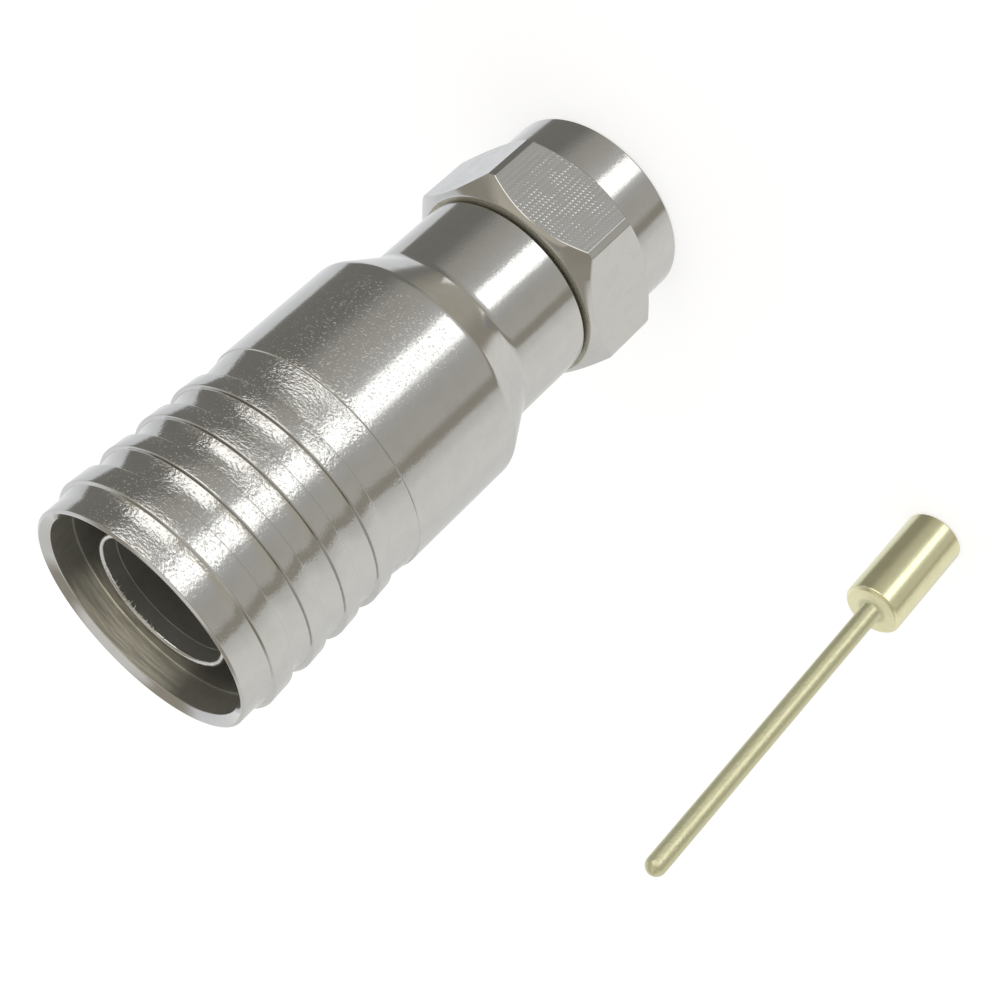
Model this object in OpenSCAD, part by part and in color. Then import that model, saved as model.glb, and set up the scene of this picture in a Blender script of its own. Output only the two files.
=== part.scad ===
// F crimp connector for thick coaxial cable, with its loose centre pin.
// The connector's axis is the Z axis. It stands on the open end of the coupling nut, at z = 0,
// and the cable goes in at the top. The pin stands on its head beside it.

/* [Coupling nut] */
// Diameter of the threaded hole at the crests of its thread
thread_d = 8.74; // [8.4:0.01:9.2]
// Bevel at the open end of the thread
thread_bevel = 0.42; // [0.1:0.01:0.5]
// Depth of the relief behind the thread, where the post's flange turns
relief_depth = 0.43; // [0.2:0.01:0.6]
// Wall from the thread to the flats of the hexagon
flat_wall = 1.18; // [1:0.01:2]
// Length of the hexagon
hex_len = 4.45; // [3.5:0.05:6]
// How far the sharp corners of the hexagon are turned down, on the radius
nut_corner_cut = 0.11; // [0.02:0.01:0.3]
// How far the corner bevels at the front start inside the flats, on the radius
nut_face_inset = 0.05; // [0.02:0.01:0.2]
// How far the bevel at the back reaches inside the flats, on the radius
nut_rear_inset = 0.2; // [0.02:0.01:0.3]
// Angle of the bevel on the corners at the back of the hexagon
rear_bevel_angle = 43; // [20:1:50]
// Angle of the bevel on the corners at the front of the hexagon
front_bevel_angle = 36; // [15:1:45]
// Wall of the round collar in front of the hexagon
collar_wall = 0.905; // [0.75:0.005:1.2]
// Length of the round collar
collar_len = 2.82; // [1.5:0.02:5]
// Bevel on the front edge of the collar
collar_bevel = 0.18; // [0.05:0.01:0.25]
// Length of the inner lip at the back of the nut, which the post holds
nut_lip_len = 1.3; // [0.8:0.05:2]

/* [Inner post] */
// Height of the flange that holds the nut, out from the post
flange_height = 0.395; // [0.25:0.005:0.6]
// Length of the flange
flange_len = 1; // [0.6:0.05:2]
// Wall of the post
post_wall = 0.345; // [0.2:0.005:0.6]
// Depth of the short counterbore at the cable end of the post, on the radius
post_mouth_step = 0.05; // [0.02:0.01:0.15]
// Length of that counterbore
post_mouth_len = 0.87; // [0.4:0.01:2]
// Distance of the post's rim below the mouth of the sleeve
post_set_back = 1.38; // [0.5:0.02:4]

/* [Crimp body] */
// Wall of the neck behind the nut, round the post
neck_wall = 1.275; // [0.8:0.005:2]
// Length of the neck
neck_len = 4.73; // [3:0.01:8]
// Bevel on the neck's end
neck_bevel = 0.12; // [0.05:0.01:0.3]
// Length of the cone between the neck and the sleeve
shoulder_len = 2.4; // [1.5:0.05:4]
// Length of the plain stretch of the sleeve, from the cone to the ribs' ramp
plain_len = 6.93; // [3:0.01:14]
// Gap between the post and the sleeve, for the cable's braid and jacket
cavity_gap = 1.725; // [1.2:0.005:2.5]
// How far the cavity reaches past the sleeve into the cone
cavity_sink = 0.35; // [0:0.05:0.7]
// Bevel round the floor of the cavity
cavity_floor_bevel = 0.5; // [0.1:0.05:1]
// Depth of the counterbore at the mouth, on the radius
mouth_step = 0.12; // [0.05:0.01:0.3]
// Length of that counterbore
mouth_len = 1.65; // [0.6:0.01:3]
// Depth of the bevel inside the lip of the mouth
lip_bevel_len = 0.3; // [0.1:0.02:0.5]
// Rounding on the outside of the lip
lip_round = 0.12; // [0.05:0.01:0.3]

/* [Crimp ribs] */
// Count of the ribs
rib_count = 4; // [2:1:6]
// Wall of the sleeve at the floor of the grooves
groove_wall = 0.63; // [0.45:0.01:1]
// Height of the plain stretch above the groove floors
plain_rise = 0.28; // [0.1:0.01:0.6]
// Height of each rib's near edge above the groove floors
rib_height = 0.34; // [0.2:0.01:0.6]
// How far each rib falls away to its far edge, on the radius
rib_fall = 0.06; // [0:0.01:0.15]
// Distance from the mouth to the first rib
first_rib_start = 1.7; // [1.2:0.01:3]
// Width of the first rib
first_rib_land = 1.23; // [0.6:0.01:1.8]
// Width of each other rib
rib_land = 0.98; // [0.5:0.02:1.5]
// Width of the grooves between the ribs
groove_len = 1.27; // [0.8:0.01:2]
// Rounding at the foot of each rib's near wall
rib_foot = 0.14; // [0.02:0.01:0.18]
// How much the ribbed stretch widens towards the mouth, on the radius
sleeve_flare = 0.1; // [0:0.01:0.2]
// Lean of the groove walls, along the axis
groove_wall_run = 0.08; // [0.02:0.01:0.2]
// Length of the ramp from the last rib to the plain stretch
ramp_len = 1.94; // [1:0.02:3]
// Height of the edge where the ramp meets the plain stretch
ramp_step = 0.07; // [0.02:0.01:0.15]

/* [Centre pin] */
// Diameter of the contact
pin_d = 1.06; // [0.8:0.02:1.2]
// Length of the contact, out of the head
contact_len = 18.55; // [12:0.05:26]
// Diameter of the cup that takes the cable's wire
cup_d = 1.74; // [1.65:0.01:2]
// Depth of the cup
cup_len = 4.2; // [3:0.05:6]
// Wall of the cup, to the outside of the head
cup_wall = 0.68; // [0.4:0.01:1.2]
// Solid end of the head behind the cup
cup_end_len = 1.75; // [1:0.05:4]
// Bevel on both edges of the head
pin_head_bevel = 0.14; // [0.05:0.01:0.3]
// Distance of the loose pin from the sleeve, to the side
pin_gap = 15.93; // [5:0.01:30]
// Distance of the loose pin from the connector's middle, to the back
pin_back = 3.25; // [-10:0.05:10]

/* [Clearances] */
// Running clearance of the nut round the post, on the radius
nut_running = 0.08; // [0.03:0.01:0.1]
// End play of the nut's lip on the post's flange
nut_end_play = 0.1; // [0.05:0.01:0.2]
// Open gap between the nut and the neck
nut_gap = 0.15; // [0.1:0.01:0.6]
// Distance from the end of the thread to the post's flange
thread_end_clear = 0.15; // [0.05:0.01:0.4]
// Clearance of the flange inside the thread, on the radius
flange_clear = 0.1; // [0.06:0.01:0.15]
// Interference of the post in the neck, on the radius
post_press = 0.01; // [0:0.005:0.03]

/* [Hidden] */
$fn = 96;
cut_over = 1;

nickel = [0.74, 0.73, 0.70];
plated_post = [0.62, 0.61, 0.58];
gold = [0.78, 0.74, 0.52];

// Radii, from the thread inwards to the post and then outwards to the sleeve
thread_r = thread_d / 2;
relief_r = thread_r + relief_depth;
collar_r = thread_r + collar_wall;
nut_flats = 2 * (thread_r + flat_wall);
hex_corner_r = nut_flats / sqrt(3);
hex_turned_r = hex_corner_r - nut_corner_cut;
hex_face_r = nut_flats / 2 - nut_face_inset;
hex_rear_r = nut_flats / 2 - nut_rear_inset;
flange_r = thread_r - flange_clear;
post_r = flange_r - flange_height;
post_bore_r = post_r - post_wall;
post_mouth_r = post_bore_r + post_mouth_step;
nut_lip_r = post_r + nut_running;
neck_bore_r = post_r - post_press;
neck_r = post_r + neck_wall;
cavity_r = post_r + cavity_gap;
mouth_r = cavity_r + mouth_step;
groove_r = cavity_r + groove_wall;
plain_r = groove_r + plain_rise;
rib_r = groove_r + rib_height;
lip_r = groove_r + sleeve_flare - lip_round;

// Distance from the mouth to the far and the near edge of rib number k
function rib_end(k) = first_rib_start + first_rib_land + k * (rib_land + groove_len);
function rib_start(k) = rib_end(k) - (k == 0 ? first_rib_land : rib_land);
plain_start = rib_end(rib_count - 1) + ramp_len;
sleeve_len = plain_start + plain_len;

// Heights along the axis, from the nut's front face up
nut_len = collar_len + hex_len;
nut_lip_z = nut_len - nut_lip_len;
flange_top_z = nut_lip_z - nut_end_play;
flange_z = flange_top_z - flange_len;
thread_end_z = flange_z - thread_end_clear;
neck_z = nut_len + nut_gap;
shoulder_z = neck_z + neck_len;
sleeve_z = shoulder_z + shoulder_len;
mouth_z = sleeve_z + sleeve_len;
cavity_z = sleeve_z - cavity_sink;
post_rim_z = mouth_z - post_set_back;

// The pin's own sizes and where it stands
pin_r = pin_d / 2;
cup_r = cup_d / 2;
pin_head_r = cup_r + cup_wall;
pin_head_len = cup_len + cup_end_len;
pin_tip_z = pin_head_len + contact_len - pin_r;
pin_x = -(rib_r + sleeve_flare + pin_gap + pin_head_r);
pin_y = pin_back;

// A point of the sleeve's outline, by its radius and its distance from the mouth
function from_mouth(r, distance) = [r, mouth_z - distance];

// The same on the ribbed stretch, which widens towards the mouth
function flared(r, distance) = from_mouth(r + sleeve_flare * (1 - distance / plain_start), distance);

// Outline of one rib: rounded foot, wall up, land that falls away a little, wall down
function rib_outline(k) = [
    flared(groove_r, rib_start(k) - groove_wall_run - rib_foot),
    flared(groove_r + rib_foot, rib_start(k) - groove_wall_run),
    flared(rib_r, rib_start(k)),
    flared(rib_r - rib_fall, rib_end(k)),
    flared(groove_r, rib_end(k) + groove_wall_run)
];

function ribbed_sleeve_outline() = concat(
    [from_mouth(lip_r, 0), flared(groove_r, lip_round)],
    [for (k = [0 : rib_count - 1]) each rib_outline(k)],
    [
        from_mouth(plain_r - ramp_step, plain_start - groove_wall_run),
        from_mouth(plain_r, plain_start),
        from_mouth(plain_r, sleeve_len)
    ]
);

function neck_outline() = [
    [neck_r, shoulder_z],
    [neck_r, neck_z + neck_bevel],
    [neck_r - neck_bevel, neck_z]
];

function body_inside_outline() = [
    [neck_bore_r, neck_z],
    [neck_bore_r, cavity_z],
    [cavity_r - cavity_floor_bevel, cavity_z],
    [cavity_r, cavity_z + cavity_floor_bevel],
    from_mouth(cavity_r, mouth_len),
    from_mouth(mouth_r, mouth_len),
    from_mouth(mouth_r, lip_bevel_len)
];

// Ribbed crimp sleeve, cone and neck, turned as one piece
module crimp_body() {
    color(nickel)
    rotate_extrude()
    polygon(concat(ribbed_sleeve_outline(), neck_outline(), body_inside_outline()));
}

// Thin tube that goes under the braid, with the flange that holds the nut
module inner_post() {
    color(plated_post)
    rotate_extrude()
    polygon([
        [post_bore_r, flange_z],
        [flange_r, flange_z],
        [flange_r, flange_top_z],
        [post_r, flange_top_z],
        [post_r, post_rim_z],
        [post_mouth_r, post_rim_z],
        [post_mouth_r, post_rim_z - post_mouth_len],
        [post_bore_r, post_rim_z - post_mouth_len]
    ]);
}

// Solid of the hexagon, with its corners turned down and bevelled at both ends
module nut_hexagon() {
    front_depth = hex_turned_r - hex_face_r;
    rear_depth = hex_turned_r - hex_rear_r;
    intersection() {
        translate([0, 0, collar_len])
        cylinder(h = hex_len, r = hex_corner_r, $fn = 6);

        rotate_extrude()
        polygon([
            [0, collar_len],
            [hex_face_r, collar_len],
            [hex_turned_r, collar_len + front_depth * tan(front_bevel_angle)],
            [hex_turned_r, nut_len - rear_depth * tan(rear_bevel_angle)],
            [hex_rear_r, nut_len],
            [0, nut_len]
        ]);
    }
}

// Solid of the round collar in front of the hexagon
module nut_collar() {
    rotate_extrude()
    polygon([
        [0, 0],
        [collar_r - collar_bevel, 0],
        [collar_r, collar_bevel],
        [collar_r, collar_len + hex_len / 2],
        [0, collar_len + hex_len / 2]
    ]);
}

// Hexagon nut that turns on the post; its threaded hole is open at the bottom
module coupling_nut() {
    color(nickel)
    difference() {
        union() {
            nut_hexagon();
            nut_collar();
        }
        translate([0, 0, -cut_over])
        cylinder(h = nut_lip_z + cut_over, r = thread_r);

        translate([0, 0, thread_end_z])
        cylinder(h = nut_lip_z - thread_end_z, r = relief_r);

        translate([0, 0, -cut_over])
        cylinder(h = nut_len + 2 * cut_over, r = nut_lip_r);

        rotate_extrude()
        polygon([
            [0, -cut_over],
            [thread_r + thread_bevel + cut_over, -cut_over],
            [thread_r, thread_bevel],
            [0, thread_bevel]
        ]);
    }
}

// Contact pin with a round tip and a cup in its head for the cable's wire
module centre_pin() {
    color(gold)
    translate([pin_x, pin_y, 0])
    difference() {
        union() {
            rotate_extrude()
            polygon([
                [0, 0],
                [pin_head_r - pin_head_bevel, 0],
                [pin_head_r, pin_head_bevel],
                [pin_head_r, pin_head_len - pin_head_bevel],
                [pin_head_r - pin_head_bevel, pin_head_len],
                [0, pin_head_len]
            ]);
            cylinder(h = pin_tip_z, r = pin_r);
            translate([0, 0, pin_tip_z])
            sphere(r = pin_r);
        }
        translate([0, 0, -cut_over])
        cylinder(h = cup_len + cut_over, r = cup_r);
    }
}

crimp_body();
inner_post();
coupling_nut();
centre_pin();
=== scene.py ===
# F crimp connector with its loose centre pin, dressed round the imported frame.
# Pieces are drawn in millimetres on the connector's own axis and brought to metres at the end.
import math
import random

import bpy
from mathutils import Matrix, Vector


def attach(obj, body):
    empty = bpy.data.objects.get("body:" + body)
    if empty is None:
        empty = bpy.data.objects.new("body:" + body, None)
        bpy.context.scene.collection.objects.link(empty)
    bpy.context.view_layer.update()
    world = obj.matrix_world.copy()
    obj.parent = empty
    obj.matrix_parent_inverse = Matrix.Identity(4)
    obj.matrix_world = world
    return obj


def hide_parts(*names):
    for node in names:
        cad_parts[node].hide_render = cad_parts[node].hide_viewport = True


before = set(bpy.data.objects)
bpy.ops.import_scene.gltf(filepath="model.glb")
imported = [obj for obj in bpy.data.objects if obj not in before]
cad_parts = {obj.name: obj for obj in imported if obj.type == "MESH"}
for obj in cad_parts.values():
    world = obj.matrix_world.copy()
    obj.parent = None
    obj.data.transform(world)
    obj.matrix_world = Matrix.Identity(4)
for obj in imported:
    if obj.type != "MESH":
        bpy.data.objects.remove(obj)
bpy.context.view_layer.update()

MM = 0.001
ORIGIN = Vector((0, 0, 0))
scene = bpy.context.scene
scene.view_settings.view_transform = "Standard"

# The crimp sleeve and its neck, in millimetres; ribs by their distance from the mouth
MOUTH_Z = 33.10
LIP_R = 6.16
LIP_EDGE_LEN = 0.10
LIP_BEVEL_LEN = 0.30
GROOVE_R = 6.23
RIB_R = 6.57
RIB_FOOT = 0.14
RIB_FOOT_RUN = 0.50
RIB_FALL = 0.06
RIB_WALL_RUN = 0.03
RIBS_FROM_MOUTH = ((1.70, 2.93), (4.20, 5.18), (6.45, 7.43), (8.70, 9.68))
SLEEVE_FLARE = 0.097
PLAIN_R = 6.51
PLAIN_START = 11.62
RAMP_STEP = 0.07
SLEEVE_Z = 14.55
SHOULDER_Z = 12.15
NECK_R = 5.15
NECK_Z = 7.42
NECK_BEVEL = 0.12
NECK_BORE_R = 3.865
CAVITY_R = 5.60
CAVITY_Z = 14.20
CAVITY_BEVEL = 0.5
COUNTERBORE_R = 5.72
COUNTERBORE_LEN = 1.65
SLEEVE_STEPS = 256

# The inner post
POST_R = 3.875
POST_BORE_R = 3.53
POST_RIM_Z = 31.72
LEAD_IN_R = 3.58
LEAD_IN_Z = 30.85
FLANGE_R = 4.27
FLANGE_FRONT_Z = 4.87
FLANGE_REAR_Z = 5.87
POST_STEPS = 192
BURR_RING_R = 3.585
BURR_ANGLES = (42, 47, 53, 55, 59, 62, 66, 72, 76, 79, 84, 88, 97)

# The coupling nut
THREAD_R = 4.37
THREAD_ROOT_R = 4.755
THREAD_PITCH = 25.4 / 32
THREAD_BEVEL = 0.42
THREAD_END_Z = 4.72
RELIEF_R = 4.80
NUT_LIP_R = 3.955
NUT_LIP_Z = 5.97
COLLAR_R = 5.275
COLLAR_BEVEL = 0.18
COLLAR_LEN = 2.82
HALF_FLATS = 5.55
HEX_FACE_R = 5.50
HEX_FRONT_Z = 3.40
HEX_REAR_Z = 6.385
NUT_COLUMNS = 204
# The blank's corners are turned away one column to each side of the flats' meeting line
TURNED_R = HALF_FLATS / math.cos(math.radians(30 - 360 / NUT_COLUMNS))
NUT_LEN = 7.27
NUT_REAR_R = 5.35
FLAT_EDGE = 0.055
FLAT_SPACING = 20

# The loose pin
PIN_PLACE = Vector((-24.15, 3.25, 0.0))
PIN_HEAD_R = 1.55
PIN_HEAD_LEN = 5.95
PIN_BEVEL = 0.14
PIN_R = 0.53
PIN_TOP = 24.5
PIN_STEPS = 128
TIP_STEPS = 8
CUP_R = 0.87
CUP_DEPTH = 4.2

# Points closer than this are one point; faces are told apart with this much room
MERGE = 0.0005
SLACK = 0.01

# Places in each piece's list of materials, after the turned outside
SLEEVE_INSIDE, SLEEVE_PLAIN = 1, 2
POST_BORE = 1
NUT_FLATS, NUT_INSIDE, NUT_PLAIN = 1, 2, 3


def only(piece):
    """Selects one object and nothing else."""
    bpy.ops.object.select_all(action="DESELECT")
    piece.select_set(True)
    bpy.context.view_layer.objects.active = piece


def draw_outline(name, outline, closed, centre=ORIGIN):
    """Draws a half section in the XZ plane, one extruded point after another, and rounds its corners."""
    bpy.ops.object.select_all(action="DESELECT")
    first_r, first_z = outline[0][:2]
    bpy.ops.mesh.primitive_plane_add(size=0.1, location=(0, 0, 0))
    piece = bpy.context.object
    piece.name = name
    bpy.ops.object.mode_set(mode="EDIT")
    bpy.ops.mesh.select_mode(type="VERT")
    bpy.ops.mesh.select_all(action="SELECT")
    bpy.ops.mesh.merge(type="CENTER")
    bpy.ops.transform.translate(value=centre + Vector((first_r, 0, first_z)))
    for before, after in zip(outline, outline[1:]):
        step = (after[0] - before[0], 0, after[1] - before[1])
        bpy.ops.mesh.extrude_vertices_move(TRANSFORM_OT_translate={"value": step})
    if closed:
        bpy.ops.object.mode_set(mode="OBJECT")
        for vertex in piece.data.vertices:
            vertex.select = vertex.index in (0, len(outline) - 1)
        bpy.ops.object.mode_set(mode="EDIT")
        bpy.ops.mesh.edge_face_add()
    round_corners(piece, outline, centre)
    return piece


def round_corners(piece, outline, centre):
    """Rounds the drawn corners, all those of one radius at a time."""
    radii = sorted({point[2] for point in outline if len(point) > 2})
    for radius in radii:
        corners = [centre + Vector((p[0], 0, p[1])) for p in outline if len(p) > 2 and p[2] == radius]
        bpy.ops.mesh.select_all(action="DESELECT")
        bpy.ops.object.mode_set(mode="OBJECT")
        for vertex in piece.data.vertices:
            vertex.select = any((vertex.co - corner).length < 0.002 for corner in corners)
        bpy.ops.object.mode_set(mode="EDIT")
        bpy.ops.mesh.bevel(
            offset=radius,
            offset_type="OFFSET",
            segments=4,
            affect="VERTICES",
            clamp_overlap=True,
        )


def close_seams():
    """Merges doubled points, turns the faces outwards and goes back to object mode."""
    bpy.ops.mesh.select_all(action="SELECT")
    bpy.ops.mesh.remove_doubles(threshold=MERGE)
    bpy.ops.mesh.normals_make_consistent(inside=False)
    bpy.ops.object.mode_set(mode="OBJECT")


def turn_outline(steps, centre=ORIGIN):
    """Spins the half section that is being edited about the axis and closes the seam."""
    bpy.ops.mesh.select_all(action="SELECT")
    bpy.ops.mesh.spin(steps=steps, angle=2 * math.pi, center=centre, axis=(0, 0, 1))
    close_seams()


def apply_modifier(piece, name):
    only(piece)
    bpy.ops.object.modifier_apply(modifier=name)


def finish_shading(piece, angle):
    """Brings a piece to metres and gives its wide faces clean normals beside the rounded edges."""
    only(piece)
    piece.scale = (MM, MM, MM)
    bpy.ops.object.transform_apply(location=True, rotation=True, scale=True)
    bpy.ops.object.shade_smooth_by_angle(angle=math.radians(angle))
    weighted = piece.modifiers.new("even_normals", "WEIGHTED_NORMAL")
    weighted.mode = "FACE_AREA"
    weighted.weight = 100
    weighted.keep_sharp = True
    apply_modifier(piece, "even_normals")


def outwards_of(polygon):
    """Radius of a face's middle and how far the face looks away from the axis."""
    outwards = Vector((polygon.center.x, polygon.center.y, 0))
    return outwards.length, polygon.normal.dot(outwards.normalized())


def give_finish(piece, index, belongs):
    """Gives the faces that belong together their own material slot."""
    for polygon in piece.data.polygons:
        if belongs(polygon):
            polygon.material_index = index


def looks_along_axis(polygon):
    """True for walls, cones and rims, which the tool left smooth."""
    return abs(polygon.normal.z) > 0.35


def is_inside_sleeve(polygon):
    radius, looks_out = outwards_of(polygon)
    if polygon.center.z < NECK_Z + SLACK:
        return True
    below_lip = polygon.center.z < MOUTH_Z - LIP_BEVEL_LEN - SLACK
    return radius < COUNTERBORE_R + 0.03 and below_lip and (looks_out < -0.4 or polygon.normal.z > 0.4)


def is_below_rim(polygon):
    radius, _ = outwards_of(polygon)
    on_wall = min(abs(radius - wall_r) for wall_r in (POST_R, POST_BORE_R, LEAD_IN_R)) < 0.006
    return polygon.center.z < LEAD_IN_Z + 0.15 or on_wall and polygon.center.z < POST_RIM_Z - 0.2


def is_inside_nut(polygon):
    radius, _ = outwards_of(polygon)
    in_hole = radius < RELIEF_R + 0.02 and polygon.center.z > 0.05
    on_rear_face = radius < NUT_REAR_R - 0.06 and polygon.center.z > NUT_LEN - SLACK
    return in_hole or on_rear_face


def is_flat(polygon):
    """True for one of the nut's six large milled faces."""
    radius, _ = outwards_of(polygon)
    return abs(polygon.normal.z) < 0.01 and polygon.area > 5 and abs(radius - HALF_FLATS) < 0.1


# The crimp body: lip, four ribs, ramp, plain stretch, cone and neck, then the inside
def flared(radius, distance, rounding):
    """A point of the ribbed stretch, which widens a little towards the mouth."""
    return (radius + SLEEVE_FLARE * (1 - distance / PLAIN_START), MOUTH_Z - distance, rounding)


def sleeve_outline():
    """Radius, height and rounding of each corner, from the lip down outside and up again inside."""
    points = [(LIP_R, MOUTH_Z, 0.02), flared(GROOVE_R, LIP_EDGE_LEN, 0.03)]
    for start, end in RIBS_FROM_MOUTH:
        points += [
            flared(GROOVE_R, start - RIB_WALL_RUN - RIB_FOOT_RUN, 0.2),
            flared(GROOVE_R + RIB_FOOT, start - RIB_WALL_RUN, 0.02),
            flared(RIB_R, start, 0.08),
            flared(RIB_R - RIB_FALL, end, 0.05),
            flared(GROOVE_R, end + RIB_WALL_RUN, 0.03),
        ]
    points += [
        (PLAIN_R - RAMP_STEP, MOUTH_Z - PLAIN_START + RIB_WALL_RUN, 0.02),
        (PLAIN_R, MOUTH_Z - PLAIN_START, 0.025),
        (PLAIN_R, SLEEVE_Z, 0.18),
        (NECK_R, SHOULDER_Z, 0.25),
        (NECK_R, NECK_Z + NECK_BEVEL, 0.03),
        (NECK_R - NECK_BEVEL, NECK_Z, 0.03),
        (NECK_BORE_R, NECK_Z, 0.02),
        (NECK_BORE_R, CAVITY_Z),
        (CAVITY_R - CAVITY_BEVEL, CAVITY_Z, 0.2),
        (CAVITY_R, CAVITY_Z + CAVITY_BEVEL, 0.2),
        (CAVITY_R, MOUTH_Z - COUNTERBORE_LEN, 0.02),
        (COUNTERBORE_R, MOUTH_Z - COUNTERBORE_LEN, 0.02),
        (COUNTERBORE_R, MOUTH_Z - LIP_BEVEL_LEN, 0.05),
    ]
    return points


crimp_body = draw_outline("crimp_sleeve", sleeve_outline(), closed=True)
turn_outline(SLEEVE_STEPS)
give_finish(crimp_body, SLEEVE_PLAIN, looks_along_axis)
give_finish(crimp_body, SLEEVE_INSIDE, is_inside_sleeve)
finish_shading(crimp_body, 40)


def make_burr():
    """One sliver as the tool leaves it on a rim: a thin cone drawn out and curled over."""
    bpy.ops.object.select_all(action="DESELECT")
    bpy.ops.mesh.primitive_cone_add(
        vertices=6,
        radius1=0.022,
        radius2=0.014,
        depth=0.07,
        location=(0, 0, 0.02),
    )
    burr = bpy.context.object
    burr.name = "burr"
    bpy.ops.object.transform_apply(location=True)
    for polygon in burr.data.polygons:
        polygon.select = polygon.normal.z > 0.9
    bpy.ops.object.mode_set(mode="EDIT")
    bpy.ops.mesh.select_mode(type="FACE")
    for step in ((0.012, 0, 0.05), (0.026, 0, 0.035)):
        bpy.ops.mesh.extrude_region_move(TRANSFORM_OT_translate={"value": step})
        bpy.ops.transform.resize(value=(0.55, 0.55, 0.55))
    bpy.ops.object.mode_set(mode="OBJECT")
    return burr


def raise_burrs(post):
    """Sets copies of the burr along the rim's inner edge, where the photograph shows them."""
    chance = random.Random(7)
    burr = make_burr()
    copies = []
    for angle in BURR_ANGLES:
        heading = math.radians(angle + chance.uniform(-1.5, 1.5))
        outwards = Vector((math.cos(heading), math.sin(heading), 0))
        sideways = Vector((-outwards.y, outwards.x, 0))
        lean = outwards * -0.45 + sideways * chance.uniform(-0.8, 0.3) + Vector((0, 0, -0.8))
        one = burr.copy()
        one.data = burr.data.copy()
        scene.collection.objects.link(one)
        size = chance.uniform(1.2, 2.1)
        turned = lean.to_track_quat("Z", "X").to_matrix().to_4x4()
        spot = outwards * BURR_RING_R + Vector((0, 0, POST_RIM_Z - 0.10))
        one.matrix_world = Matrix.Translation(spot) @ turned @ Matrix.Scale(size, 4)
        copies.append(one)
    bpy.data.objects.remove(burr)
    bpy.ops.object.select_all(action="DESELECT")
    for one in copies:
        one.select_set(True)
    post.select_set(True)
    bpy.context.view_layer.objects.active = post
    bpy.ops.object.join()


# The inner post, with a lead-in at the rim and the flange that keeps the nut
post_outline = [
    (POST_BORE_R, FLANGE_FRONT_Z, 0.04),
    (FLANGE_R, FLANGE_FRONT_Z, 0.05),
    (FLANGE_R, FLANGE_REAR_Z, 0.05),
    (POST_R, FLANGE_REAR_Z, 0.04),
    (POST_R, POST_RIM_Z, 0.13),
    (LEAD_IN_R, POST_RIM_Z, 0.13),
    (LEAD_IN_R, LEAD_IN_Z, 0.02),
    (POST_BORE_R, LEAD_IN_Z, 0.02),
]
inner_post = draw_outline("post_tube", post_outline, closed=True)
turn_outline(POST_STEPS)
raise_burrs(inner_post)
give_finish(inner_post, POST_BORE, is_below_rim)
finish_shading(inner_post, 40)

# The nut: turned blank, helical thread cut into its hole, six flats, broken edges
nut_outline = [
    (THREAD_R + THREAD_BEVEL, 0.0, 0.03),
    (COLLAR_R - COLLAR_BEVEL, 0.0, 0.03),
    (COLLAR_R, COLLAR_BEVEL, 0.05),
    (COLLAR_R, COLLAR_LEN, 0.04),
    (HEX_FACE_R, COLLAR_LEN, 0.03),
    (TURNED_R, HEX_FRONT_Z),
    (TURNED_R, HEX_REAR_Z),
    (NUT_REAR_R, NUT_LEN, 0.05),
    (NUT_LIP_R, NUT_LEN, 0.04),
    (NUT_LIP_R, NUT_LIP_Z, 0.03),
    (RELIEF_R, NUT_LIP_Z),
    (RELIEF_R, THREAD_END_Z),
    (THREAD_R, THREAD_END_Z, 0.02),
    (THREAD_R, THREAD_BEVEL, 0.02),
]


def cut_thread(nut):
    """Cuts the port's thread with one closed V outline that is screwed up the hole."""
    flare = math.tan(math.radians(30))
    inner_r = THREAD_R - 0.12
    half_root = THREAD_PITCH / 16
    half_open = half_root + (THREAD_ROOT_R - inner_r) * flare
    start_z = -1.05
    cutter_outline = [
        (inner_r, start_z - half_open),
        (THREAD_ROOT_R, start_z - half_root),
        (THREAD_ROOT_R, start_z + half_root),
        (inner_r, start_z + half_open),
    ]
    cutter = draw_outline("thread_cutter", cutter_outline, closed=True)
    bpy.ops.mesh.select_all(action="SELECT")
    bpy.ops.mesh.edge_face_add()
    bpy.ops.object.mode_set(mode="OBJECT")
    screw = cutter.modifiers.new("helix", "SCREW")
    screw.axis = "Z"
    screw.angle = 2 * math.pi
    screw.screw_offset = THREAD_PITCH
    screw.iterations = 8
    screw.steps = 96
    screw.render_steps = 96
    screw.use_merge_vertices = True
    apply_modifier(cutter, "helix")
    bpy.ops.object.mode_set(mode="EDIT")
    close_seams()
    cut = nut.modifiers.new("thread", "BOOLEAN")
    cut.operation = "DIFFERENCE"
    cut.solver = "EXACT"
    cut.object = cutter
    apply_modifier(nut, "thread")
    bpy.data.objects.remove(cutter)


def mill_flats(nut):
    """Cuts the six flats one after another; each cut is filled and its edge is broken."""
    only(nut)
    bpy.ops.object.mode_set(mode="EDIT")
    for turn in range(6):
        angle = math.radians(90 + 60 * turn)
        outwards = Vector((math.cos(angle), math.sin(angle), 0))
        bpy.ops.mesh.select_all(action="SELECT")
        bpy.ops.mesh.bisect(
            plane_co=outwards * HALF_FLATS,
            plane_no=outwards,
            use_fill=True,
            clear_outer=True,
            threshold=0.0001,
        )
    bpy.ops.object.mode_set(mode="OBJECT")
    for polygon in nut.data.polygons:
        polygon.select = is_flat(polygon)
    bpy.ops.object.mode_set(mode="EDIT")
    bpy.ops.mesh.select_mode(type="FACE")
    bpy.ops.mesh.region_to_loop()
    bpy.ops.mesh.bevel(
        offset=FLAT_EDGE,
        offset_type="OFFSET",
        segments=3,
        affect="EDGES",
        clamp_overlap=False,
    )
    bpy.ops.object.mode_set(mode="OBJECT")


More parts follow.
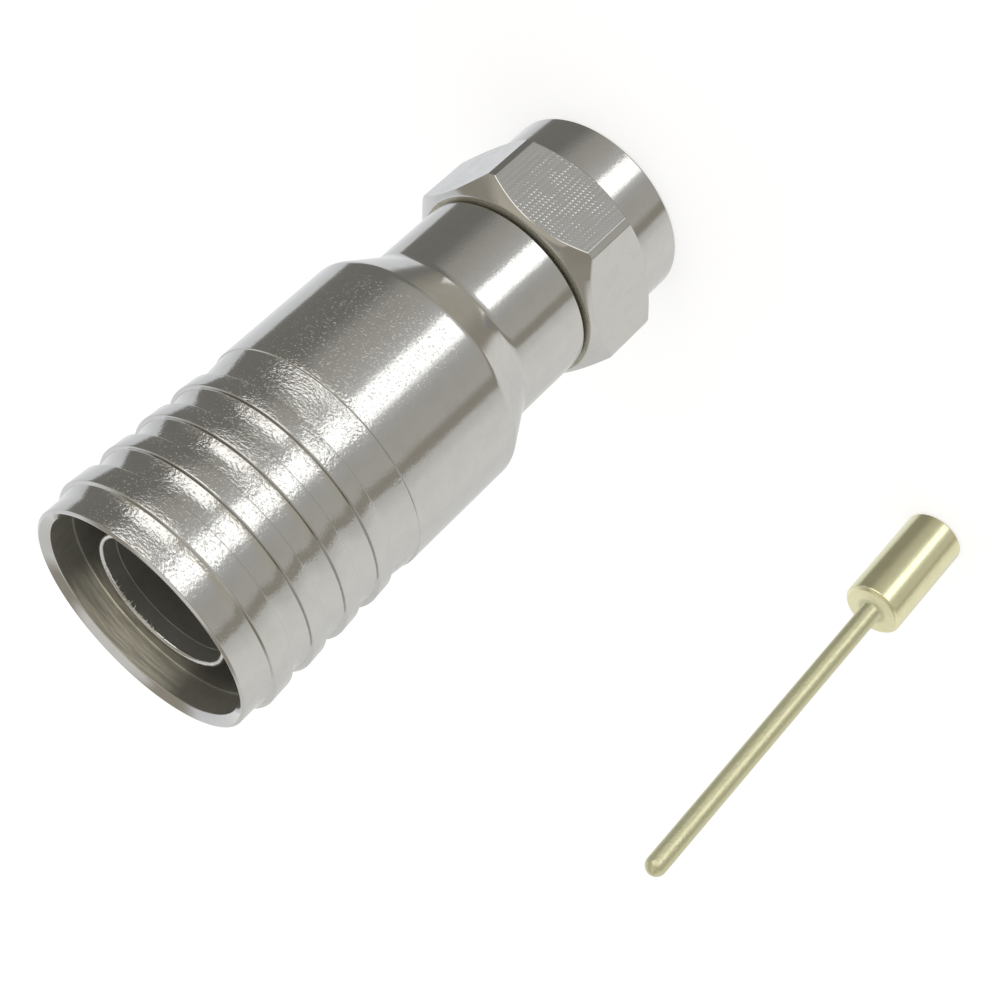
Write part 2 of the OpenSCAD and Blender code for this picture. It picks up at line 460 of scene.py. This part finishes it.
def map_flats(nut):
    """Lays a map on the flats, in millimetres across and along the nut, each flat on ground of its own."""
    marks = nut.data.uv_layers.new(name="flat_marks")
    for polygon in nut.data.polygons:
        if not is_flat(polygon):
            continue
        sideways = Vector((-polygon.normal.y, polygon.normal.x, 0))
        sixth = round(math.degrees(math.atan2(polygon.normal.y, polygon.normal.x)) / 60)
        for corner in polygon.loop_indices:
            place = nut.data.vertices[nut.data.loops[corner].vertex_index].co
            marks.data[corner].uv = (place.dot(sideways) + FLAT_SPACING * sixth, place.z)


coupling_nut = draw_outline("turning_nut", nut_outline, closed=True)
turn_outline(NUT_COLUMNS)
cut_thread(coupling_nut)
mill_flats(coupling_nut)
map_flats(coupling_nut)
give_finish(coupling_nut, NUT_PLAIN, looks_along_axis)
give_finish(coupling_nut, NUT_FLATS, is_flat)
give_finish(coupling_nut, NUT_INSIDE, is_inside_nut)
finish_shading(coupling_nut, 10)

# The loose pin: cup for the wire, head, thin contact and round tip
pin_outline = [
    (0.0, CUP_DEPTH),
    (CUP_R, CUP_DEPTH),
    (CUP_R, 0.0, 0.05),
    (PIN_HEAD_R - PIN_BEVEL, 0.0, 0.03),
    (PIN_HEAD_R, PIN_BEVEL, 0.04),
    (PIN_HEAD_R, PIN_HEAD_LEN - PIN_BEVEL, 0.04),
    (PIN_HEAD_R - PIN_BEVEL, PIN_HEAD_LEN, 0.04),
    (PIN_R, PIN_HEAD_LEN, 0.03),
    (PIN_R, PIN_TOP - PIN_R),
]
for step in range(1, TIP_STEPS + 1):
    lift = math.radians(90 * step / TIP_STEPS)
    pin_outline.append((PIN_R * math.cos(lift), PIN_TOP - PIN_R + PIN_R * math.sin(lift)))
centre_pin = draw_outline("contact_pin", pin_outline, closed=False, centre=PIN_PLACE)
turn_outline(PIN_STEPS, PIN_PLACE)
finish_shading(centre_pin, 40)


# Node helpers
def feed(tree, socket, value):
    """Links another node's output to a socket, or sets a plain value on it."""
    if isinstance(value, bpy.types.NodeSocket):
        tree.links.new(value, socket)
    else:
        socket.default_value = value


def calc(tree, operation, first, second=0.0):
    made = tree.nodes.new("ShaderNodeMath")
    made.operation = operation
    feed(tree, made.inputs[0], first)
    feed(tree, made.inputs[1], second)
    return made.outputs[0]


def vector_calc(tree, operation, first, second=(0, 0, 0)):
    made = tree.nodes.new("ShaderNodeVectorMath")
    made.operation = operation
    feed(tree, made.inputs[0], first)
    feed(tree, made.inputs[1], second)
    return made.outputs["Value" if operation in ("DOT_PRODUCT", "LENGTH") else "Vector"]


def remap(tree, value, low, high, to_low=0.0, to_high=1.0):
    """Brings a value from one range to another, with soft ends."""
    made = tree.nodes.new("ShaderNodeMapRange")
    made.interpolation_type = "SMOOTHSTEP"
    feed(tree, made.inputs["Value"], value)
    feed(tree, made.inputs["From Min"], low)
    feed(tree, made.inputs["From Max"], high)
    feed(tree, made.inputs["To Min"], to_low)
    feed(tree, made.inputs["To Max"], to_high)
    return made.outputs["Result"]


def mix_colours(tree, factor, first, second, mode="MIX"):
    made = tree.nodes.new("ShaderNodeMix")
    made.data_type = "RGBA"
    made.blend_type = mode
    feed(tree, made.inputs["Factor"], factor)
    feed(tree, made.inputs["A"], first)
    feed(tree, made.inputs["B"], second)
    return made.outputs["Result"]


def split(tree, vector):
    made = tree.nodes.new("ShaderNodeSeparateXYZ")
    tree.links.new(vector, made.inputs[0])
    return made.outputs


def join(tree, x, y, z):
    made = tree.nodes.new("ShaderNodeCombineXYZ")
    for socket, value in zip(made.inputs, (x, y, z)):
        feed(tree, socket, value)
    return made.outputs[0]


def noise(tree, vector, scale, detail=2.0, roughness=0.5):
    made = tree.nodes.new("ShaderNodeTexNoise")
    tree.links.new(vector, made.inputs["Vector"])
    made.inputs["Scale"].default_value = scale
    made.inputs["Detail"].default_value = detail
    made.inputs["Roughness"].default_value = roughness
    return made.outputs["Fac"]


def middle(tree, value, height):
    """A noise value brought round zero and given a height."""
    return calc(tree, "MULTIPLY", calc(tree, "SUBTRACT", value, 0.5), height)


def drawn_round(tree, x, y, z, squeeze):
    """A place in which a noise is drawn out into lines round the axis."""
    return join(tree, calc(tree, "MULTIPLY", x, squeeze), calc(tree, "MULTIPLY", y, squeeze), z)


# The plating's surface, shared by every metal here: waves, grain, chatter with flecks, lines of the lathe
def make_plating():
    group = bpy.data.node_groups.new("plating", "ShaderNodeTree")
    sockets = group.interface
    sockets.new_socket("Place", in_out="INPUT", socket_type="NodeSocketVector")
    for name in ("Waves", "Grain", "Chatter", "Flecks", "Lines"):
        sockets.new_socket(name, in_out="INPUT", socket_type="NodeSocketFloat")
    sockets.new_socket("Height", in_out="OUTPUT", socket_type="NodeSocketFloat")
    sockets.new_socket("Blotch", in_out="OUTPUT", socket_type="NodeSocketFloat")
    given = group.nodes.new("NodeGroupInput").outputs
    result = group.nodes.new("NodeGroupOutput").inputs
    place = given["Place"]
    x, y, z = split(group, place)
    wide = vector_calc(group, "MULTIPLY", place, (0.5, 0.5, 1.0))
    short = vector_calc(group, "MULTIPLY", place, (0.62, 0.62, 1.0))
    waves = middle(group, noise(group, place, 0.9), given["Waves"])
    grain = middle(group, noise(group, wide, 13.0, 1.0), given["Grain"])
    cluster = remap(group, noise(group, wide, 1.1), 0.38, 0.62, 0.3, 1.0)
    chatter = middle(group, noise(group, short, 8.5), given["Chatter"])
    chatter = calc(group, "MULTIPLY", chatter, cluster)
    flecks = remap(group, noise(group, short, 12.0), 0.60, 0.72)
    chatter = calc(group, "ADD", chatter, calc(group, "MULTIPLY", flecks, given["Flecks"]))
    reach = vector_calc(group, "LENGTH", join(group, x, y, 0.0))
    drawn = drawn_round(group, x, y, calc(group, "ADD", z, reach), 0.06)
    lines = middle(group, noise(group, drawn, 9.0, 3.0, 0.65), given["Lines"])
    height = calc(group, "ADD", calc(group, "ADD", waves, grain), calc(group, "ADD", lines, chatter))
    group.links.new(height, result["Height"])
    blotch = remap(group, noise(group, place, 1.2, 3.0, 0.6), 0.42, 0.66)
    group.links.new(blotch, result["Blotch"])
    return group


plating = make_plating()


def metal(name, tones, heights, finish=None, metallic=1.0, offset=ORIGIN):
    """A plated metal: its bright and stained tones, heights in millimetres, roughness on each tone."""
    made = bpy.data.materials.new(name)
    made.use_nodes = True
    tree = made.node_tree
    shader = tree.nodes["Principled BSDF"]
    shader.inputs["Metallic"].default_value = metallic
    place = tree.nodes.new("ShaderNodeMapping")
    place.inputs["Scale"].default_value = (1 / MM, 1 / MM, 1 / MM)
    place.inputs["Location"].default_value = -offset
    tree.links.new(tree.nodes.new("ShaderNodeTexCoord").outputs["Object"], place.inputs["Vector"])
    surface = tree.nodes.new("ShaderNodeGroup")
    surface.name = "surface"
    surface.node_tree = plating
    tree.links.new(place.outputs[0], surface.inputs["Place"])
    for key, value in heights.items():
        surface.inputs[key].default_value = value
    blotch = surface.outputs["Blotch"]
    bright, stained = tones
    tree.links.new(mix_colours(tree, blotch, (*bright, 1), (*stained, 1)), shader.inputs["Base Color"])
    if finish:
        tree.links.new(remap(tree, blotch, 0.0, 1.0, *finish), shader.inputs["Roughness"])
    bump = tree.nodes.new("ShaderNodeBump")
    bump.name = "relief"
    bump.inputs["Distance"].default_value = MM
    tree.links.new(surface.outputs["Height"], bump.inputs["Height"])
    tree.links.new(bump.outputs["Normal"], shader.inputs["Normal"])
    return made


def place_on(tree):
    """X, Y and Z on a piece, in millimetres."""
    return split(tree, tree.nodes["Mapping"].outputs[0])


def round_the_axis(tree, turns, middle_degrees):
    """A wave round the connector's axis that is 1 at the given angle."""
    x, y, _ = place_on(tree)
    angle = calc(tree, "SUBTRACT", calc(tree, "ARCTAN2", y, x), math.radians(middle_degrees))
    return calc(tree, "COSINE", calc(tree, "MULTIPLY", angle, turns))


def roughen_sleeve(material):
    """The turning left three rough zones round the axis; chatter is deepest there on the ribbed stretch."""
    tree = material.node_tree
    surface = tree.nodes["surface"].inputs
    rough_zone = remap(tree, round_the_axis(tree, 3, -80), -0.3, 0.8, 0.1, 1.0)
    z = place_on(tree)[2]
    on_ribs = remap(tree, z, 20.6, 21.8, 0.005, 0.070)
    to_mouth = remap(tree, z, 22.0, 33.0, 1.0, 0.5)
    chatter_depth = calc(tree, "MULTIPLY", on_ribs, to_mouth)
    tree.links.new(calc(tree, "MULTIPLY", chatter_depth, rough_zone), surface["Chatter"])
    tree.links.new(remap(tree, rough_zone, 0.0, 1.0, 0.0012, 0.0036), surface["Grain"])
    on_sleeve = remap(tree, z, 14.7, 15.6, 0.0, 0.010)
    tree.links.new(calc(tree, "MULTIPLY", rough_zone, on_sleeve), surface["Flecks"])


def paint_inside_reflection(material):
    """Paints a pale reflection on one side of the sleeve's inside, broken into thin scrape lines round the
    axis.
    """
    tree = material.node_tree
    tone = tree.nodes["Principled BSDF"].inputs["Base Color"]
    reflecting_side = remap(tree, round_the_axis(tree, 1, 75), 0.72, 1.0)
    x, y, z = place_on(tree)
    scraped = drawn_round(tree, x, y, z, 0.07)
    scrapes = remap(tree, noise(tree, scraped, 6.0, 4.0, 0.7), 0.34, 0.68, 0.4, 1.0)
    reflection_in_lines = calc(tree, "MULTIPLY", reflecting_side, scrapes)
    plain_tone = tone.links[0].from_socket
    # painted reflection: the pale tone mixed in on that side, in scrape lines
    tree.links.new(mix_colours(tree, reflection_in_lines, plain_tone, (0.80, 0.76, 0.64, 1)), tone)


def dull_contact(material):
    """The pin's thin contact is duller and grainier than its head."""
    tree = material.node_tree
    shader = tree.nodes["Principled BSDF"].inputs
    x, y, _ = place_on(tree)
    from_middle = vector_calc(tree, "LENGTH", join(tree, x, y, 0.0))
    on_contact = remap(tree, from_middle, 0.9, 0.6)
    tree.links.new(remap(tree, on_contact, 0.0, 1.0, 0.22, 0.38), shader["Roughness"])
    head_gold = shader["Base Color"].links[0].from_socket
    contact_gold = mix_colours(tree, on_contact, head_gold, (0.72, 0.705, 0.47, 1))
    tree.links.new(contact_gold, shader["Base Color"])
    grain = remap(tree, on_contact, 0.0, 1.0, 0.003, 0.022)
    tree.links.new(grain, tree.nodes["surface"].inputs["Grain"])


# Marks of the milling cutter on the flats, in millimetres
TOOTH_PITCH = 0.21
PASS_PITCH = 0.27
DAB_HEIGHT = 0.009
SCORE_HEIGHT = 0.008


def add_mill_marks(material):
    """The cutter's passes lie side by side along each flat, and each tooth left a short dab on them."""
    tree = material.node_tree
    flat = tree.nodes.new("ShaderNodeUVMap")
    flat.uv_map = "flat_marks"
    across, along, _ = split(tree, flat.outputs[0])
    place = join(tree, across, along, 0.0)
    wander = calc(tree, "MULTIPLY", noise(tree, place, 1.3, 1.0), 3.0)
    tooth_turn = calc(tree, "ADD", calc(tree, "MULTIPLY", along, 2 * math.pi / TOOTH_PITCH), wander)
    pass_turn = calc(tree, "ADD", calc(tree, "MULTIPLY", across, 2 * math.pi / PASS_PITCH), wander)
    tooth = remap(tree, calc(tree, "SINE", tooth_turn), -0.3, 0.9)
    row = remap(tree, calc(tree, "SINE", pass_turn), -0.8, 0.8)
    dabs = calc(tree, "MULTIPLY", calc(tree, "MULTIPLY", tooth, row), DAB_HEIGHT)
    sixth = calc(tree, "ROUND", calc(tree, "DIVIDE", across, FLAT_SPACING))
    off_middle = calc(tree, "SUBTRACT", across, calc(tree, "MULTIPLY", FLAT_SPACING, sixth))
    in_middle = remap(tree, calc(tree, "ABSOLUTE", off_middle), 2.7, 0.8, 0.4, 1.0)
    seen = remap(tree, noise(tree, place, 1.1), 0.34, 0.56, 0.25, 1.0)
    dabs = calc(tree, "MULTIPLY", dabs, calc(tree, "MULTIPLY", in_middle, seen))
    drawn = join(tree, calc(tree, "MULTIPLY", across, 5.0), calc(tree, "MULTIPLY", along, 0.4), 3.0)
    scores = middle(tree, noise(tree, drawn, 1.0, 1.0), SCORE_HEIGHT)
    total = calc(tree, "ADD", tree.nodes["surface"].outputs["Height"], calc(tree, "ADD", dabs, scores))
    tree.links.new(total, tree.nodes["relief"].inputs["Height"])


# The metals: tones, surface heights and finish of each
NICKEL = ((0.635, 0.632, 0.618), (0.618, 0.613, 0.595))
NICKEL_FINISH = (0.08, 0.11)
turned_nickel = metal("turned_nickel", NICKEL, {"Waves": 0.006, "Lines": 0.0012}, NICKEL_FINISH)
roughen_sleeve(turned_nickel)

SMOOTH_HEIGHTS = {"Waves": 0.003, "Grain": 0.0006, "Lines": 0.0008}
plain_nickel = metal("plain_nickel", NICKEL, SMOOTH_HEIGHTS, NICKEL_FINISH)

MILLED_TONES = ((0.64, 0.637, 0.628), (0.625, 0.62, 0.605))
MILLED_HEIGHTS = {"Waves": 0.006, "Grain": 0.0012, "Chatter": 0.002}
milled_nickel = metal("milled_nickel", MILLED_TONES, MILLED_HEIGHTS, (0.10, 0.14))
add_mill_marks(milled_nickel)

# Painted shade: the nut's threaded hole and the rear face round its lip get nickel darkened and tinted
# olive far below its own tone, for the shade in the hole and in the gap behind the nut
NUT_HOLE_SHADE_TONES = ((0.45, 0.43, 0.36), (0.40, 0.38, 0.30))
NUT_HOLE_HEIGHTS = {"Waves": 0.006, "Grain": 0.0008, "Chatter": 0.001, "Lines": 0.002}
nut_inside_painted_shade = metal("nut_inside_painted_shade", NUT_HOLE_SHADE_TONES, NUT_HOLE_HEIGHTS, (0.26, 0.34), metallic=0.5)

BORE_HEIGHTS = {"Waves": 0.006, "Grain": 0.003, "Chatter": 0.006, "Lines": 0.006}
# Painted shade: the sleeve's cavity, counterbore walls and the neck's end get nickel darkened far below its
# own tone, for the shade deep in the mouth and in the gap behind the nut
SLEEVE_BORE_SHADE_TONES = ((0.21, 0.205, 0.185), (0.185, 0.18, 0.155))
sleeve_inside_painted_shade = metal("sleeve_inside_painted_shade", SLEEVE_BORE_SHADE_TONES, BORE_HEIGHTS, (0.28, 0.36), metallic=0.35)
paint_inside_reflection(sleeve_inside_painted_shade)
# Painted shade: the post's bore below its rim gets nickel darkened far below its own tone, for the shade
# inside the thin tube
POST_BORE_SHADE_TONES = ((0.20, 0.20, 0.185), (0.18, 0.178, 0.16))
post_bore_painted_shade = metal("post_bore_painted_shade", POST_BORE_SHADE_TONES, BORE_HEIGHTS, (0.30, 0.38), metallic=0.35)

GOLD_TONES = ((0.92, 0.895, 0.60), (0.89, 0.86, 0.56))
GOLD_HEIGHTS = {"Waves": 0.004, "Chatter": 0.006, "Lines": 0.0012}
pale_gold = metal("pale_gold", GOLD_TONES, GOLD_HEIGHTS, metallic=0.88, offset=PIN_PLACE)
dull_contact(pale_gold)


def dress(piece, materials, body, node):
    """Gives a piece its materials and the body it rides on, and hides the imported part that it stands for.
    """
    kept = [polygon.material_index for polygon in piece.data.polygons]
    piece.data.materials.clear()
    for material in materials:
        piece.data.materials.append(material)
    piece.data.polygons.foreach_set("material_index", kept)
    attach(piece, body)
    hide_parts(node)


dress(crimp_body, (turned_nickel, sleeve_inside_painted_shade, plain_nickel), "connector", "crimp_body")
dress(inner_post, (turned_nickel, post_bore_painted_shade), "connector", "inner_post")
nut_metals = (turned_nickel, milled_nickel, nut_inside_painted_shade, plain_nickel)
dress(coupling_nut, nut_metals, "nut", "coupling_nut")
dress(centre_pin, (pale_gold,), "pin", "centre_pin")
# The pin lies too far off in the photograph to be mirrored in the sleeve
centre_pin.visible_glossy = False

# Studio: a white screen on one side, a dim warm room with two lights on the other, a softbox overhead
studio = bpy.data.worlds.new("studio")
scene.world = studio
studio.use_nodes = True
sky = studio.node_tree
sky.nodes.clear()
way = sky.nodes.new("ShaderNodeTexCoord").outputs["Generated"]
rise = split(sky, way)[2]
# Heading round the axis, with its seam in the middle of the screen
ROOM_TURN = 70
turned = sky.nodes.new("ShaderNodeVectorRotate")
turned.rotation_type = "Z_AXIS"
turned.inputs["Angle"].default_value = math.radians(ROOM_TURN)
sky.links.new(way, turned.inputs["Vector"])
ahead = split(sky, turned.outputs[0])
heading = calc(sky, "ARCTAN2", ahead[1], ahead[0])
share = sky.nodes.new("ShaderNodeMapRange")
share.inputs["From Min"].default_value = -math.pi
share.inputs["From Max"].default_value = math.pi
sky.links.new(heading, share.inputs["Value"])


def wall(stops):
    """Brightness and tint of a wall by degrees from the middle of the room."""
    made = sky.nodes.new("ShaderNodeValToRGB")
    sky.links.new(share.outputs[0], made.inputs["Fac"])
    ramp = made.color_ramp
    while len(ramp.elements) > 1:
        ramp.elements.remove(ramp.elements[-1])
    for index, (degrees, level, tint) in enumerate(stops):
        spot = (degrees + 180) / 360
        stop = ramp.elements[0] if index == 0 else ramp.elements.new(spot)
        stop.position = spot
        stop.color = (*(level * part for part in tint), 1)
    return made.outputs["Color"]


WARM = (1.02, 0.99, 0.91)
NEUTRAL = (1.0, 0.995, 0.97)
COOL = (0.985, 0.995, 1.02)
PALE = (1.01, 0.995, 0.95)
room = wall((
    (-180, 0.42, WARM),
    (-84, 0.50, WARM),
    (-62, 0.48, WARM),
    (-52, 0.50, NEUTRAL),
    (-44, 0.64, NEUTRAL),
    (-20, 0.74, NEUTRAL),
    (-10, 0.56, NEUTRAL),
    (2, 0.47, WARM),
    (25, 0.38, WARM),
    (34, 0.28, WARM),
    (43, 0.215, WARM),
    (58, 0.21, WARM),
    (84, 0.215, WARM),
    (100, 0.25, WARM),
))
screen = wall((
    (-180, 0.74, NEUTRAL),
    (-158, 0.80, NEUTRAL),
    (-140, 0.845, PALE),
    (-112, 0.80, PALE),
    (-100, 0.66, PALE),
    (-92, 0.56, PALE),
    (86, 0.66, COOL),
    (98, 0.75, COOL),
    (122, 0.875, COOL),
    (142, 0.91, NEUTRAL),
    (162, 0.74, NEUTRAL),
))
UPPER_WALLS = (0.50, 0.47, 0.40, 1)
GROUND = (0.47, 0.44, 0.375, 1)
CEILING = (0.58, 0.54, 0.455, 1)
DARK_EDGE = (0.345, 0.322, 0.275, 1)
SCREEN_TOP = (0.38, 0.35, 0.30, 1)
OVERHEAD_BOX = (0.79, 0.775, 0.74, 1)
WHITE = (1, 1, 1, 1)
SCREEN_SIDE = (-0.3206, 0.9402, 0.1149)
side = vector_calc(sky, "DOT_PRODUCT", way, SCREEN_SIDE)
room = mix_colours(sky, remap(sky, rise, 0.02, 0.28), room, UPPER_WALLS)
room = mix_colours(sky, remap(sky, rise, -0.86, -0.96), room, GROUND)


def soft_lamp(middle_degrees, half_width, edge_width, low_rise, high_rise, fade, strength):
    """A patch of light by its heading and its lower and upper rise."""
    off = calc(sky, "ABSOLUTE", calc(sky, "SUBTRACT", heading, math.radians(middle_degrees)))
    lit = remap(sky, off, math.radians(half_width + edge_width), math.radians(half_width), 0.0, strength)
    lit = calc(sky, "MULTIPLY", lit, remap(sky, rise, low_rise - fade, low_rise))
    return calc(sky, "MULTIPLY", lit, remap(sky, rise, high_rise + fade, high_rise))


strip_light = soft_lamp(-30, 8.5, 6.5, -0.68, 0.20, 0.12, 1.10)
key_light = soft_lamp(14, 17, 6.0, -0.17, 0.45, 0.06, 1.15)
room = mix_colours(sky, 1.0, room, calc(sky, "ADD", strip_light, key_light), "ADD")
room = mix_colours(sky, remap(sky, rise, 0.60, 0.76), room, CEILING)
# The room darkens towards the screen's edge, over a wider stretch near the ceiling
edge = calc(sky, "ADD", side, calc(sky, "MULTIPLY", calc(sky, "MAXIMUM", rise, 0.0), 0.18))
room = mix_colours(sky, remap(sky, edge, -0.23, -0.12), room, DARK_EDGE, "DARKEN")
screen = mix_colours(sky, remap(sky, rise, 0.62, 0.78), screen, SCREEN_TOP)
walls = mix_colours(sky, remap(sky, side, -0.04, 0.04), room, screen)
walls = mix_colours(sky, remap(sky, rise, 0.89, 0.97), walls, OVERHEAD_BOX)
camera_sees = sky.nodes.new("ShaderNodeLightPath").outputs["Is Camera Ray"]
glow = sky.nodes.new("ShaderNodeBackground")
sky.links.new(mix_colours(sky, camera_sees, walls, WHITE), glow.inputs["Color"])
sky.links.new(glow.outputs[0], sky.nodes.new("ShaderNodeOutputWorld").inputs["Surface"])

# Floor: white to the camera, with a faint shadow of the connector and the pin
bpy.ops.object.select_all(action="DESELECT")
bpy.ops.mesh.primitive_plane_add(size=3.0, location=(0, 0, -0.02 * MM))
floor = bpy.context.object
floor.name = "floor"
bpy.ops.object.transform_apply(location=True)
floor.visible_glossy = False
paper = bpy.data.materials.new("white_paper")
paper.use_nodes = True
paper_tree = paper.node_tree
paper_shader = paper_tree.nodes["Principled BSDF"]
paper_shader.inputs["Base Color"].default_value = (0.35, 0.35, 0.35, 1)
paper_shader.inputs["Roughness"].default_value = 1.0
paper_shader.inputs["Specular IOR Level"].default_value = 0.0
paper_shader.inputs["Emission Color"].default_value = WHITE
paper_rays = paper_tree.nodes.new("ShaderNodeLightPath")
paper_glow = calc(paper_tree, "MULTIPLY", paper_rays.outputs["Is Camera Ray"], 0.72)
paper_tree.links.new(paper_glow, paper_shader.inputs["Emission Strength"])
floor.data.materials.append(paper)

bpy.ops.object.light_add(type="AREA", location=(-0.05, -0.05, 0.6))
lamp = bpy.context.object
lamp.name = "overhead_softbox"
lamp.data.size = 0.8
lamp.data.energy = 2.0
lamp.visible_glossy = False

# Camera of the photograph: it looks from the mouth's side, rolled so that the axis runs down to the left
CAMERA_PLACE = Vector((-22.3146, -86.5959, 62.7038))
right = Vector((-0.748760, -0.207035, -0.629679))
up = Vector((0.645822, -0.441756, -0.622709))
forward = Vector((0.149242, 0.872919, -0.464477))
view = bpy.data.cameras.new("photo_view")
view.lens = 75.47
view.sensor_width = 36
view.clip_start = 0.005
view.clip_end = 10
camera = bpy.data.objects.new("photo_view", view)
scene.collection.objects.link(camera)
turn = Matrix((right, up, -forward)).transposed().to_4x4()
camera.matrix_world = Matrix.Translation(CAMERA_PLACE * MM) @ turn
scene.camera = camera
